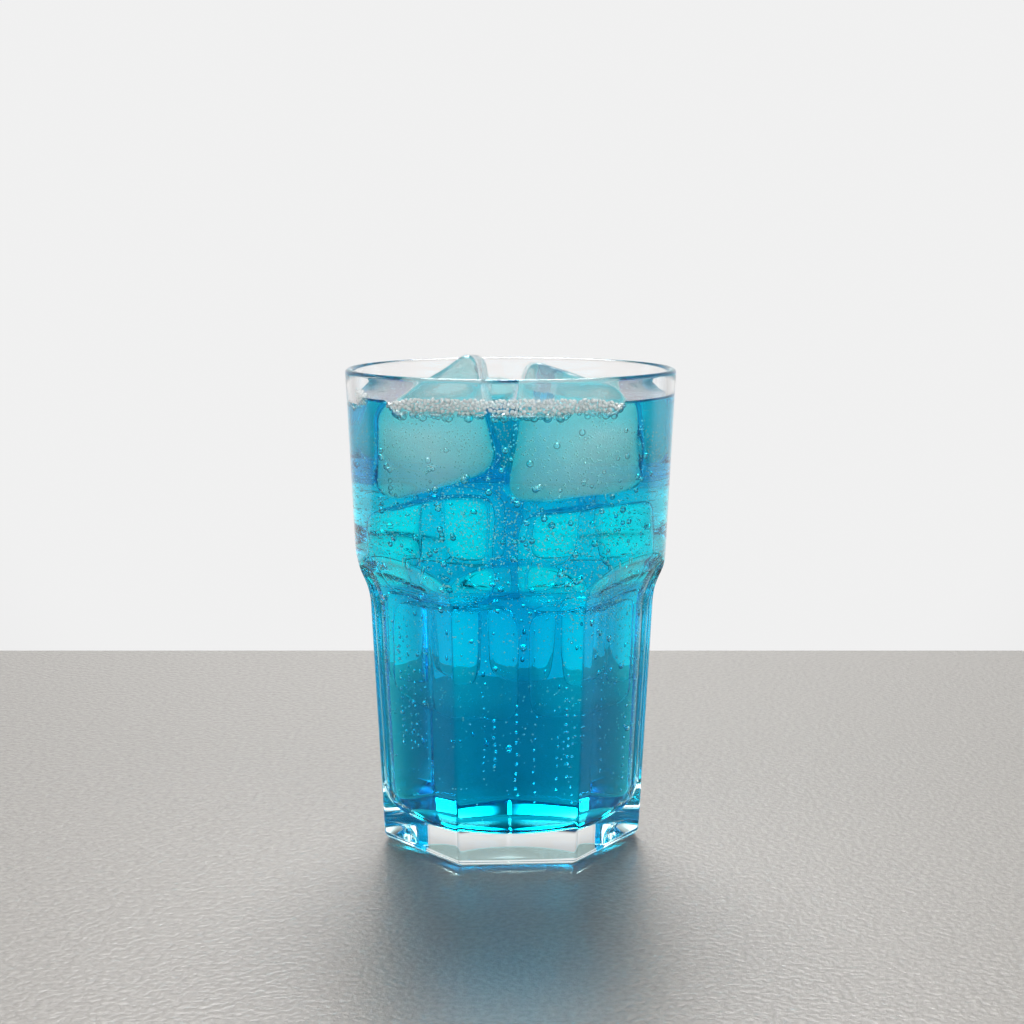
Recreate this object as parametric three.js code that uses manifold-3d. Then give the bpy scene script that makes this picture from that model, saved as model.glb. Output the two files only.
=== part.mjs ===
// A tumbler of iced blue sports drink: a seven-sided pressed glass that turns
// round above its arches, the drink in it, four ice cubes that break the
// surface and the froth along the wall.
// Millimetres, +Z up, -Y to the front, origin at the middle of the foot.
import * as THREE from 'three';
import { mergeVertices } from 'three/addons/utils/BufferGeometryUtils.js';
import Module from 'manifold-3d';

const wasm = await Module();
wasm.setup();

const DEGREE = Math.PI / 180;

// The glass outside
const HEIGHT = 127.3;
const RIM_RADIUS = 44;
const CONE_SLOPE = 0.045;
const LIP_WIDTH = 2.2;
const SIDES = 7;
const GLASS_TURN = 3.2 * DEGREE;
const CORNER_RADIUS_AT_FOOT = 35.4;
const CORNER_SLOPE = 0.05;
const SCOOP_START = 65.5;
const SCOOP_FILLET = 20;
const SCOOP_SLOPE = 1.05;
const ARCH_TOP = 81;
const ARCH_EDGE_BLEND = 1.5;
const HEEL_RADIUS = 2.7;
const PUNT_RADIUS = 26;
const PUNT_HEIGHT = 0.6;
const PUNT_STEPS = 3;
const LIP_STEPS = 6;

// The glass inside, as height and radius
const MOUTH = { z: HEIGHT - LIP_WIDTH / 2, r: RIM_RADIUS - LIP_WIDTH };
const SHOULDER = { z: 84, r: 39.3 };
const WAIST = { z: 68, r: 32.6 };
const CORNER = { z: 15.5, r: 29.9 };
const WALL = [CORNER, WAIST, SHOULDER, MOUTH];
const CORNER_FILLET = 7;
const FILLET_STEPS = 6;
const FLOOR_Z = 7.5;

// The wall's bends are eased over this height either way, and take these rows
const WALL_EASE = 7;
const EASE_SAMPLES = 11;
const BEND_HEIGHTS = [92, 87, 82, 76, 70, 65, 60];

// Rows of points up the outside, closest together on the heel and the arches
const HEEL_FIRST_ROW = 0.35;
const OUTSIDE_BANDS = [
  { from: HEEL_FIRST_ROW, to: HEEL_RADIUS, rows: 3 },
  { from: HEEL_RADIUS, to: SCOOP_START, rows: 2 },
  { from: SCOOP_START, to: ARCH_TOP, rows: 11 },
  { from: ARCH_TOP, to: MOUTH.z, rows: 3 },
];

// The drink and what floats in it
const DRINK_LEVEL = 120;
const GAP = 0.3;
const ICE_ROUND = 5;
const ICE_SEGMENTS = 6;
const ICE_TAPER = 0.12;

// The cubes melt to the wall's curve, and further back beside the froth
const MELT_GAP = 1.1;
const MELT_BLEND = 3;
const FROTH_MELT = { from: 112.5, to: 117.5, depth: 2.4 };

// The froth, a bank of small bubbles along the wall
const FROTH_LOW = 118.6;
const FROTH_HIGH = 122.2;
const FROTH_BUMP_DEEPEST = 0.8;
const FROTH_STEP = 1.25;
const FROTH_ROUND_STEPS = 14;
const FROTH_SQUARENESS = 0.6;

// The bank's section shrinks over the last steps at each end and stays by the wall
const FROTH_END_SHARE = 0.45;
const FROTH_SHARE_PER_STEP = 0.2;
const FROTH_END_SHIFT = 0.9;

// Factors that scatter the depth of the froth's bumps
const SCATTER_ALONG = 12.9;
const SCATTER_ROUND = 78.2;
const SCATTER_SPREAD = 43.7;

const SEGMENTS_ROUND = 56;
const WELD_DISTANCE = 1e-4;

// Each cube: size, centre, turns in degrees about x, y and z, and the slopes of its
// melted bottom and top along x, which turn the cube into a wedge
const ICE_CUBES = {
  ice_left: {
    size: [28, 30, 28], centre: [-17.7, -21.4, 112.9], turn: [-3, -6, -5], slopes: [0.22, 0.42],
  },
  ice_right: {
    size: [30, 30, 31], centre: [15.4, -21.2, 111.7], turn: [-3, 3, 3], slopes: [0.14, -0.26],
  },
  ice_back_left: {
    size: [31, 25, 22], centre: [-12.8, 11.4, 112.6], turn: [-4, 4, -7], slopes: [0, 0.1],
  },
  ice_back_right: {
    size: [22, 25, 22], centre: [19.3, 11.0, 112.4], turn: [-4, 2, 8], slopes: [0, -0.1],
  },
};

// Each bank of froth: where its middle lies, its half angle and its width
const FROTH_BANKS = {
  froth_front: { middle: -2.5, half: 46, width: 2.4 },
  froth_side: { middle: -75, half: 14, width: 2.4 },
};

const GLASS_MATERIAL = new THREE.MeshStandardMaterial({
  color: 0xe6f1f2, roughness: 0.05, metalness: 0, transparent: true, opacity: 0.35,
});
const DRINK_MATERIAL = new THREE.MeshStandardMaterial({
  color: 0x0096c8, roughness: 0.05, metalness: 0, transparent: true, opacity: 0.75,
});
const ICE_MATERIAL = new THREE.MeshStandardMaterial({
  color: 0xc9e6ee, roughness: 0.15, metalness: 0, transparent: true, opacity: 0.6,
});
const FROTH_MATERIAL = new THREE.MeshStandardMaterial({
  color: 0xd5e4e6, roughness: 0.35, metalness: 0,
});

// Solids to booleans and back
function toSolid(geometry) {
  const bare = geometry.clone();
  bare.deleteAttribute('normal');
  bare.deleteAttribute('uv');
  const merged = mergeVertices(bare, WELD_DISTANCE);
  return new wasm.Manifold(new wasm.Mesh({
    numProp: 3,
    vertProperties: new Float32Array(merged.attributes.position.array),
    triVerts: new Uint32Array(merged.index.array),
  }));
}

function toGeometry(solid) {
  const mesh = solid.getMesh();
  const geometry = new THREE.BufferGeometry();
  geometry.setAttribute('position', new THREE.BufferAttribute(mesh.vertProperties, 3));
  geometry.setIndex(new THREE.BufferAttribute(mesh.triVerts, 1));
  return geometry;
}

// A lathe turned about +Z, from points of radius and height
function turned(points) {
  const profile = points.map(([r, z]) => new THREE.Vector2(r, z));
  const geometry = new THREE.LatheGeometry(profile, SEGMENTS_ROUND);
  return geometry.rotateX(Math.PI / 2);
}

function arcPoints(centre, radius, from, to, steps) {
  return Array.from({ length: steps + 1 }, (_, i) => {
    const angle = (from + (to - from) * i / steps) * DEGREE;
    return [centre[0] + radius * Math.cos(angle), centre[1] + radius * Math.sin(angle)];
  });
}

function heights({ from, to, rows }) {
  return Array.from({ length: rows }, (_, i) => from + (to - from) * i / rows);
}

// The glass: a cone whose lower part is cut by seven flat panels, each of which
// curves out to the cone at its top
function coneRadius(z) {
  return RIM_RADIUS - CONE_SLOPE * (HEIGHT - z);
}

function scoop(z) {
  const rise = z - SCOOP_START;
  const filletEnd = SCOOP_FILLET * Math.sin(Math.atan(SCOOP_SLOPE));
  if (rise <= 0) {
    return 0;
  }
  if (rise < filletEnd) {
    return SCOOP_FILLET - Math.sqrt(SCOOP_FILLET ** 2 - rise ** 2);
  }
  const filletDepth = SCOOP_FILLET * (1 - Math.cos(Math.atan(SCOOP_SLOPE)));
  return filletDepth + SCOOP_SLOPE * (rise - filletEnd);
}

function heelInset(z) {
  const rise = THREE.MathUtils.clamp(z, 0, HEEL_RADIUS);
  return HEEL_RADIUS - Math.sqrt(HEEL_RADIUS ** 2 - (HEEL_RADIUS - rise) ** 2);
}

function panelDistance(z) {
  const corner = CORNER_RADIUS_AT_FOOT + CORNER_SLOPE * z;
  return corner * Math.cos(Math.PI / SIDES) + scoop(z) - heelInset(z);
}

function smoothMin(a, b, blend) {
  const overlap = Math.max(blend - Math.abs(a - b), 0) / blend;
  return Math.min(a, b) - overlap ** 2 * blend / 4;
}

function outerRadius(angle, z) {
  const sector = 2 * Math.PI / SIDES;
  const offset = angle - sector * Math.round(angle / sector);
  return smoothMin(coneRadius(z), panelDistance(z) / Math.cos(offset), ARCH_EDGE_BLEND);
}

function innerProfile(gap) {
  const slopeAngle = Math.atan((WAIST.r - CORNER.r) / (WAIST.z - CORNER.z));
  const filletZ = FLOOR_Z + CORNER_FILLET;
  const filletCentre = [innerRadius(filletZ) - CORNER_FILLET, filletZ];
  const filletStart = -slopeAngle / DEGREE;
  const fillet = arcPoints(filletCentre, CORNER_FILLET - gap, filletStart, -90, FILLET_STEPS);
  return [
    ...BEND_HEIGHTS.map((z) => [innerRadius(z) - gap, z]),
    ...fillet,
    [0, FLOOR_Z + gap],
  ];
}

// The inner wall's radius with sharp bends, and with its bends eased
function sharpRadius(z) {
  const above = WALL.findIndex((stop) => z < stop.z);
  const end = above < 0 ? WALL.length - 1 : Math.max(above, 1);
  const [low, high] = [WALL[end - 1], WALL[end]];
  return low.r + (high.r - low.r) * (z - low.z) / (high.z - low.z);
}

function innerRadius(z) {
  let sum = 0;
  for (let i = 0; i < EASE_SAMPLES; i += 1) {
    sum += sharpRadius(z + WALL_EASE * (2 * i / (EASE_SAMPLES - 1) - 1));
  }
  return sum / EASE_SAMPLES;
}

function makeGlass() {
  const footEdge = panelDistance(0);
  const outside = OUTSIDE_BANDS.flatMap(heights);
  const punt = Array.from({ length: PUNT_STEPS + 1 }, (_, i) => {
    const share = i / PUNT_STEPS;
    return [PUNT_RADIUS * share, PUNT_HEIGHT * (1 - share ** 2)];
  });
  const lipCentre = [RIM_RADIUS - LIP_WIDTH / 2, MOUTH.z];
  const lip = arcPoints(lipCentre, LIP_WIDTH / 2, 0, 180, LIP_STEPS);
  const profile = [
    ...punt,
    [footEdge, 0],
    ...outside.map((z) => [coneRadius(z), z]),
    ...lip,
    ...innerProfile(0),
  ];
  const geometry = turned(profile);
  const outsideStart = punt.length;
  const footAndOutside = 1 + outside.length;
  facetOutside(geometry, profile.length, outsideStart, outsideStart + footAndOutside);
  return geometry.rotateZ(GLASS_TURN);
}

function facetOutside(geometry, pointsPerSegment, first, end) {
  const position = geometry.attributes.position;
  for (let i = 0; i < position.count; i += 1) {
    const row = i % pointsPerSegment;
    if (row >= first && row < end) {
      const [x, y, z] = [position.getX(i), position.getY(i), position.getZ(i)];
      const angle = Math.atan2(x, -y);
      const radius = outerRadius(angle, z);
      position.setXY(i, radius * Math.sin(angle), -radius * Math.cos(angle));
    }
  }
}

// How far from the axis the ice may reach
function meltRadius(z) {
  const besideFroth = THREE.MathUtils.smoothstep(z, FROTH_MELT.from, FROTH_MELT.to);
  return innerRadius(z) - MELT_GAP - FROTH_MELT.depth * besideFroth;
}

// A rounded cube with sloping ends, narrowing upwards, its grid closest together at
// the edges
function makeIce({ size, centre, turn, slopes }, grow) {
  const half = size.map((side) => side / 2 + grow);
  const round = ICE_ROUND + grow;
  const geometry = new THREE.BoxGeometry(2, 2, 2, ICE_SEGMENTS, ICE_SEGMENTS, ICE_SEGMENTS);
  const position = geometry.attributes.position;
  const core = new THREE.Vector3();
  const point = new THREE.Vector3();
  for (let i = 0; i < position.count; i += 1) {
    point.fromBufferAttribute(position, i);
    half.forEach((side, axis) => {
      const along = Math.sin(point.getComponent(axis) * Math.PI / 2) * side;
      point.setComponent(axis, along);
      core.setComponent(axis, THREE.MathUtils.clamp(along, round - side, side - round));
    });
    point.sub(core).setLength(round).add(core);
    const share = (1 + point.z / half[2]) / 2;
    const height = point.z + THREE.MathUtils.lerp(...slopes, share) * point.x;
    const width = 1 - ICE_TAPER * THREE.MathUtils.clamp(height / half[2], -1, 1);
    position.setXYZ(i, point.x * width, point.y * width, height);
  }
  const [x, y, z] = turn.map((angle) => angle * DEGREE);
  geometry.applyMatrix4(new THREE.Matrix4().makeRotationFromEuler(new THREE.Euler(x, y, z, 'ZYX')));
  geometry.translate(...centre);
  for (let i = 0; i < position.count; i += 1) {
    point.fromBufferAttribute(position, i);
    const radius = Math.hypot(point.x, point.y);
    const share = smoothMin(radius, meltRadius(point.z) + grow, MELT_BLEND) / radius;
    position.setXY(i, point.x * share, point.y * share);
  }
  return geometry;
}

// A bank of froth: an arc along the wall whose section is a rounded oblong. Its
// bumps are a bubble's size; a grown bank, which the drink is cut by, is smooth.
function makeFroth({ middle, half, width }, grow) {
  const outer = innerRadius(FROTH_LOW) - GAP + grow;
  const radius = outer - width / 2 - grow;
  const halfWidth = width / 2 + grow;
  const halfHeight = (FROTH_HIGH - FROTH_LOW) / 2 + grow;
  const steps = Math.round(2 * half * DEGREE * outer / FROTH_STEP);
  const points = [];
  for (let i = 0; i <= steps; i += 1) {
    const along = (2 * i / steps - 1) * (half + grow / outer / DEGREE);
    const angle = (middle + along) * DEGREE;
    const end = Math.min(i, steps - i);
    const swell = Math.min(1, FROTH_END_SHARE + FROTH_SHARE_PER_STEP * end);
    const shift = (1 - swell) * halfWidth * FROTH_END_SHIFT;
    for (let j = 0; j < FROTH_ROUND_STEPS; j += 1) {
      const turn = 2 * Math.PI * j / FROTH_ROUND_STEPS;
      const bump = grow > 0 ? 0 : frothBump(i, j);
      const across = squared(Math.cos(turn));
      const up = squared(Math.sin(turn));
      const r = radius + across * (halfWidth - bump) * swell + shift;
      const z = (FROTH_LOW + FROTH_HIGH) / 2 + up * (halfHeight - bump) * swell;
      points.push(r * Math.sin(angle), -r * Math.cos(angle), z);
    }
  }
  return tubeOf(points, steps);
}

// Turns the cosine or sine of a circle into that of a rounded oblong
function squared(part) {
  return Math.sign(part) * Math.abs(part) ** FROTH_SQUARENESS;
}

function frothBump(i, j) {
  const wave = Math.sin(i * SCATTER_ALONG + j * SCATTER_ROUND);
  return FROTH_BUMP_DEEPEST * (Math.abs(wave * SCATTER_SPREAD) % 1);
}

function tubeOf(points, steps) {
  const ring = FROTH_ROUND_STEPS;
  const index = [];
  for (let i = 0; i < steps; i += 1) {
    for (let j = 0; j < ring; j += 1) {
      const a = i * ring + j;
      const b = i * ring + (j + 1) % ring;
      index.push(a, a + ring, b, b, a + ring, b + ring);
    }
  }
  for (let j = 1; j < ring - 1; j += 1) {
    const last = steps * ring;
    index.push(0, j, j + 1, last, last + j + 1, last + j);
  }
  const geometry = new THREE.BufferGeometry();
  geometry.setAttribute('position', new THREE.Float32BufferAttribute(points, 3));
  geometry.setIndex(index);
  return geometry;
}

// The drink, cut round the ice and the froth
function makeDrink() {
  const body = turned([
    [0, DRINK_LEVEL],
    [innerRadius(DRINK_LEVEL) - GAP, DRINK_LEVEL],
    ...innerProfile(GAP),
  ].reverse());
  let solid = toSolid(body.rotateZ(GLASS_TURN));
  for (const cube of Object.values(ICE_CUBES)) {
    solid = solid.subtract(toSolid(makeIce(cube, GAP)));
  }
  for (const bank of Object.values(FROTH_BANKS)) {
    solid = solid.subtract(toSolid(makeFroth(bank, GAP)));
  }
  return toGeometry(solid);
}

function addPiece(name, geometry, material) {
  const mesh = new THREE.Mesh(geometry, material);
  mesh.name = name;
  group.add(mesh);
}

const group = new THREE.Group();
addPiece('glass', makeGlass(), GLASS_MATERIAL);
addPiece('drink', makeDrink(), DRINK_MATERIAL);
for (const [name, cube] of Object.entries(ICE_CUBES)) {
  addPiece(name, makeIce(cube, 0), ICE_MATERIAL);
}
for (const [name, bank] of Object.entries(FROTH_BANKS)) {
  addPiece(name, makeFroth(bank, 0), FROTH_MATERIAL);
}

export default group;
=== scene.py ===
import math
import random

import bmesh
import bpy
import numpy as np
from mathutils import Euler, Matrix, Vector, noise


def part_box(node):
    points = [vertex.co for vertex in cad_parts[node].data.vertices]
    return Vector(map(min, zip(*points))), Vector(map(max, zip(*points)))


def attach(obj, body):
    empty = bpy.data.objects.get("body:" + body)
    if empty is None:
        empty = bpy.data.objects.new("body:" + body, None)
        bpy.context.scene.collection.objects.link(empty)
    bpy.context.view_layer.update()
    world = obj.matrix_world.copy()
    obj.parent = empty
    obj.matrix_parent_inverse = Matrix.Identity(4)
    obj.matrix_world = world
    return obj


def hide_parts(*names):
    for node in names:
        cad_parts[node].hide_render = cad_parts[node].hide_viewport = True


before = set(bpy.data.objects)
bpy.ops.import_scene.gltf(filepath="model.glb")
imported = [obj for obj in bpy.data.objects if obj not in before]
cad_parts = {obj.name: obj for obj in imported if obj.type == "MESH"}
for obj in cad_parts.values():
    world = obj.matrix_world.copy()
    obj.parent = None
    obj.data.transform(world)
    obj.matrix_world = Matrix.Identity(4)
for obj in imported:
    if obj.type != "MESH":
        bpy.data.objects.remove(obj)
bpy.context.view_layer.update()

MM = 0.001
DEGREE = math.pi / 180
random.seed(7)

# The glass outside
GLASS_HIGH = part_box("glass")[1]
HEIGHT = GLASS_HIGH.z / MM
RIM_RADIUS = GLASS_HIGH.y / MM
CONE_SLOPE = 0.045
LIP_WIDTH = 2.2
SIDES = 7
GLASS_TURN = 3.2 * DEGREE
CORNER_RADIUS_AT_FOOT = 35.4
CORNER_SLOPE = 0.05
CORNER_ROUND = 1.4
SCOOP_START = 65.5
SCOOP_FILLET = 20.0
SCOOP_SLOPE = 1.05
ARCHES_END = 83.0
ARCH_EDGE_BLEND = 1.2
HEEL_RADIUS = 2.7
PUNT_RADIUS = 26.0
PUNT_HEIGHT = 0.6

# The glass inside
MOUTH_Z = HEIGHT - LIP_WIDTH / 2
MOUTH_RADIUS = RIM_RADIUS - LIP_WIDTH
SHOULDER_Z = 84.0
SHOULDER_RADIUS = 39.3
WAIST_Z = 68.0
WAIST_RADIUS = 32.6
CORNER_Z = 15.5
CORNER_RADIUS = 29.9
CORNER_FILLET = 7.0
FLOOR_Z = 7.5
WALL_FOOT = FLOOR_Z + CORNER_FILLET
WALL_EASE = 7.0
WALL_EASE_SAMPLES = 11

# Grid of the turned skins
COLUMNS_PER_SIDE = 46
COLUMN_CROWDING = 0.7
DISC_STEPS = np.linspace(0.1, 1, 10)
HEEL_RINGS = 10
LIP_RINGS = 16
CORNER_RINGS = 14

# The drink
DRINK_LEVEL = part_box("drink")[1].z / MM
WALL_OVERLAP = 0.15
MENISCUS_RISE = 0.9
MENISCUS_WIDTH = 1.3
RIPPLE_RISE = 0.06
RIPPLE_LENGTH = 7
DRINK_WALL_TOP = DRINK_LEVEL - 3
DRINK_WALL_RINGS = 60
SURFACE_EDGE = 6
SURFACE_EDGE_RINGS = 22
SURFACE_HEART = 2
SURFACE_HEART_RINGS = 26
SHARP_ANGLE = 35 * DEGREE

# The four cubes that break the surface: size, centre, turns in degrees, and the
# slopes of the melted bottom and top
TOP_ICE = {
    "ice_left": ((28, 30, 28), (-17.7, -21.4, 112.9), (-3, -6, -5), (0.22, 0.42)),
    "ice_right": ((30, 30, 31), (15.4, -21.2, 111.7), (-3, 3, 3), (0.14, -0.26)),
    "ice_back_left": ((31, 25, 22), (-12.8, 11.4, 112.6), (-4, 4, -7), (0, 0.1)),
    "ice_back_right": ((22, 25, 22), (19.3, 11.0, 112.4), (-4, 2, 8), (0, -0.1)),
}
ICE_ROUND = 5.0
ICE_TAPER = 0.12
ICE_GRID = 30

# The cloud in each of them is nearly the whole of what is under the surface
HEART_SHARE = 0.99
HEART_DEPTH = 0.6
HEART_BLEND = 3.0

# Lumps of melted ice, with finer ones on them
LUMP_LENGTH = 9
LUMP_RISE = 0.55
LUMP_SINK = 0.2
FINE_LUMP_TIMES = 4
FINE_LUMP_RISE = 0.12
LUMP_SEED_X = 3.1
LUMP_SEED_Y = 1.7

# The top cubes melt to the wall's curve, and further back beside the froth
MELT_GAP = 1.1
MELT_BLEND = 3.0
FROTH_MELT_FROM = 112.5
FROTH_MELT_TO = 117.5
FROTH_MELT_DEPTH = 2.4

# The sunk cubes: size, centre, turns in degrees. Each is cut back by its
# neighbours and the wall, and its edges are rounder than those of the top ones
SUNK_ICE = (
    ((36, 33, 29), (-18.0, -18.5, 83.5), (-2, 2, 2)),
    ((36, 33, 29), (17.5, -18.0, 81.5), (6, -4, -7)),
    ((32, 28, 28), (0.0, 9.0, 86.0), (3, 5, 8)),
    ((22, 28, 28), (-28.0, 10.0, 84.0), (3, 0, -5)),
    ((22, 28, 28), (28.0, 10.0, 85.0), (3, -6, -5)),
    ((28, 20, 28), (-13.0, 28.0, 84.0), (0, 3, 10)),
    ((28, 20, 28), (14.0, 28.0, 85.0), (2, 0, -8)),
    ((36, 29, 31), (-13.0, -14.5, 54.5), (4, 6, 3)),
    ((29, 29, 31), (18.5, -13.5, 54.0), (0, -2, -6)),
    ((28, 24, 30), (3.0, 12.0, 58.0), (-4, 6, 5)),
    ((20, 24, 29), (-20.0, 13.0, 56.5), (0, 4, 0)),
    ((18, 24, 29), (23.5, 12.0, 56.0), (-4, -6, -5)),
    ((26, 14, 22), (-7.0, 32.5, 107.5), (4, 3, 0)),
    ((24, 16, 22), (16.0, 30.0, 107.0), (0, 5, -20)),
)
SUNK_ICE_GAP = 0.15
SUNK_ICE_WALL_GAP = 0.9
SUNK_ICE_EDGE_POWER = 7.5
SUNK_ICE_LEVEL = 5
SUNK_ICE_SEED = 10
LOW_ROW_UNDER = 70
HOLLOW_SWELL = 1.002

# Froth, in a hollow of the drink along the wall; the banks' middles and halves are in degrees
FROTH_LOW = 118.4
FROTH_HIGH = 122.3
FROTH_HOLLOW = 1.3
FROTH_HOLLOW_UNEVEN = 0.7
FROTH_HOLLOW_LENGTH = 4
FROTH_HOLLOW_END = 4
FROTH_HOLLOW_EDGE = 1.2
FROTH_FRONT = {"middle": -2.5, "half": 45, "width": 2.3}
FROTH_SIDE = {"middle": -75, "half": 13, "width": 2.3}


# Helpers for meshes
def new_piece(name, points, faces, material):
    mesh = bpy.data.meshes.new(name)
    mesh.from_pydata(np.asarray(points).tolist(), [], [list(map(int, face)) for face in faces])
    mesh.validate()
    mesh.polygons.foreach_set("use_smooth", [True] * len(mesh.polygons))
    mesh.materials.append(material)
    piece = bpy.data.objects.new(name, mesh)
    bpy.context.scene.collection.objects.link(piece)
    return piece


def skin(rings, start, end):
    """Points and faces of a closed skin through rings of equal count, with a point at each end."""
    rings = np.array(rings)
    rows, columns = rings.shape[:2]
    points = np.vstack([rings.reshape(-1, 3), [start], [end]])
    index = np.arange(rows * columns).reshape(rows, columns)
    after = np.roll(index, -1, axis=1)
    faces = np.stack([index[:-1], after[:-1], after[1:], index[1:]], -1).reshape(-1, 4).tolist()
    first, last = rows * columns, rows * columns + 1
    faces += [[first, b, a] for a, b in zip(index[0], after[0])]
    faces += [[a, b, last] for a, b in zip(index[-1], after[-1])]
    return points, faces


def ring(radius, z, angles):
    """A ring of points in metres; angles run from the front panel's middle towards +X."""
    turned = angles + GLASS_TURN
    radius = np.broadcast_to(radius, angles.shape)
    height = np.broadcast_to(z, angles.shape)
    return np.stack([radius * np.sin(turned), -radius * np.cos(turned), height], -1) * MM


def column_angles():
    """Angles round the glass, closest together at its corners."""
    half = math.pi / SIDES
    t = np.linspace(-1, 1, COLUMNS_PER_SIDE, endpoint=False)
    offset = half * ((1 - COLUMN_CROWDING) * t + COLUMN_CROWDING * np.sin(math.pi * t / 2))
    return np.concatenate([offset + 2 * half * side for side in range(SIDES)])


ANGLES = column_angles()


# The form of the glass
def cone_radius(z):
    return RIM_RADIUS - CONE_SLOPE * (HEIGHT - z)


def scoop(z):
    rise = max(z - SCOOP_START, 0)
    tilt = math.atan(SCOOP_SLOPE)
    fillet_end = SCOOP_FILLET * math.sin(tilt)
    curved = SCOOP_FILLET - math.sqrt(SCOOP_FILLET**2 - min(rise, fillet_end) ** 2)
    return curved + SCOOP_SLOPE * max(rise - fillet_end, 0)


def heel_inset(z):
    rise = min(max(z, 0), HEEL_RADIUS)
    return HEEL_RADIUS - math.sqrt(HEEL_RADIUS**2 - (HEEL_RADIUS - rise) ** 2)


def panel_distance(z):
    corner = CORNER_RADIUS_AT_FOOT + CORNER_SLOPE * z
    return corner * math.cos(math.pi / SIDES) + scoop(z) - heel_inset(z)


def panelled(distance, angles):
    """Radius of the flat-sided outline with rounded corners."""
    half = math.pi / SIDES
    offset = np.abs(angles - 2 * half * np.round(angles / (2 * half)))
    flat_end = (distance - CORNER_ROUND) * math.tan(half)
    corner = (distance - CORNER_ROUND) / math.cos(half)
    from_corner = half - offset
    depth = np.maximum(CORNER_ROUND**2 - (corner * np.sin(from_corner)) ** 2, 0)
    rounded = corner * np.cos(from_corner) + np.sqrt(depth)
    return np.where(distance * np.tan(offset) <= flat_end, distance / np.cos(offset), rounded)


def smooth_min(a, b, blend):
    overlap = np.maximum(blend - np.abs(a - b), 0) / blend
    return np.minimum(a, b) - overlap**2 * blend / 4


def outer_ring(z):
    radius = smooth_min(cone_radius(z), panelled(panel_distance(z), ANGLES), ARCH_EDGE_BLEND)
    return ring(radius, z, ANGLES)


def inner_radius(z):
    """The inner wall's radius, its two bends eased."""
    heights = np.array([CORNER_Z, WAIST_Z, SHOULDER_Z, MOUTH_Z])
    radii = np.array([CORNER_RADIUS, WAIST_RADIUS, SHOULDER_RADIUS, MOUTH_RADIUS])
    low_slope = (radii[1] - radii[0]) / (heights[1] - heights[0])
    high_slope = (radii[3] - radii[2]) / (heights[3] - heights[2])
    spread = np.linspace(-WALL_EASE, WALL_EASE, WALL_EASE_SAMPLES) + z
    values = np.interp(spread, heights, radii)
    values = np.where(spread < heights[0], radii[0] + low_slope * (spread - heights[0]), values)
    values = np.where(spread > heights[3], radii[3] + high_slope * (spread - heights[3]), values)
    return float(values.mean())


def floor_corner(grow):
    """The rounded corner between the inner floor and wall, from the wall down, as (radius, z)."""
    centre_r = inner_radius(WALL_FOOT) - CORNER_FILLET
    radius = CORNER_FILLET + grow
    turns = np.linspace(0, math.pi / 2, CORNER_RINGS)
    return [(centre_r + radius * math.cos(t), WALL_FOOT - radius * math.sin(t)) for t in turns]


# Stages of the glass outside and inside: from, to, and how many rings; closer at the
# arches, and where the drink's edge meets the wall
WET_EDGE_TOP = FROTH_HIGH + 0.5
WET_EDGE_FOOT = DRINK_LEVEL - 1
OUTER_STAGES = (
    (HEEL_RADIUS, SCOOP_START, 24),
    (SCOOP_START, ARCHES_END, 48),
    (ARCHES_END, MOUTH_Z, 16),
)
INNER_STAGES = (
    (MOUTH_Z, WET_EDGE_TOP, 5),
    (WET_EDGE_TOP, WET_EDGE_FOOT, 16),
    (WET_EDGE_FOOT, WALL_FOOT, 56),
)


def heights_between(stages):
    """The heights of all the stages' rings, without the first and the last."""
    return np.concatenate([np.linspace(*stage)[1:] for stage in stages])[:-1]


def make_glass(material):
    rings = []
    for t in DISC_STEPS:
        rings.append(ring(PUNT_RADIUS * t, PUNT_HEIGHT * (1 - t**2), ANGLES))
    rings.append(outer_ring(0.0))
    for t in np.linspace(0, math.pi / 2, HEEL_RINGS)[1:]:
        rings.append(outer_ring(HEEL_RADIUS * (1 - math.cos(t))))
    for z in heights_between(OUTER_STAGES):
        rings.append(outer_ring(z))
    lip_radius = LIP_WIDTH / 2
    for t in np.linspace(0, math.pi, LIP_RINGS):
        rings.append(ring(RIM_RADIUS - lip_radius + lip_radius * math.cos(t),
                          MOUTH_Z + lip_radius * math.sin(t), ANGLES))
    for z in heights_between(INNER_STAGES):
        rings.append(ring(inner_radius(z), z, ANGLES))
    corner = floor_corner(0)
    for r, z in corner:
        rings.append(ring(r, z, ANGLES))
    floor_edge = corner[-1][0]
    for t in DISC_STEPS[-2::-1]:
        rings.append(ring(floor_edge * t, FLOOR_Z, ANGLES))
    points, faces = skin(rings, (0, 0, PUNT_HEIGHT * MM), (0, 0, FLOOR_Z * MM))
    tumbler = new_piece("tumbler", points, faces, material)
    mark_faces(tumbler, "wet", is_wetted_wall)
    return tumbler


# Ice
def ice_points(size, slopes, seed):
    """Points and faces of a rounded, lumpy block with a sloping top about the origin, in mm."""
    grid = bmesh.new()
    bmesh.ops.create_cube(grid, size=2)
    bmesh.ops.subdivide_edges(grid, edges=grid.edges[:], cuts=ICE_GRID - 1, use_grid_fill=True)
    unit = np.array([vertex.co for vertex in grid.verts])
    faces = [[vertex.index for vertex in face.verts] for face in grid.faces]
    grid.free()
    half = np.array(size) / 2
    along = np.sin(unit * math.pi / 2) * half
    core = np.clip(along, ICE_ROUND - half, half - ICE_ROUND)
    out = along - core
    out /= np.linalg.norm(out, axis=1, keepdims=True)
    surface = core + out * ICE_ROUND
    lumps = np.array([lump(point, seed) for point in surface])
    points = surface + out * lumps[:, None]
    share = (1 + points[:, 2] / half[2]) / 2
    points[:, 2] += (slopes[0] + (slopes[1] - slopes[0]) * share) * points[:, 0]
    points[:, :2] *= 1 - ICE_TAPER * np.clip(points[:, 2:] / half[2], -1, 1)
    return points, faces


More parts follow.
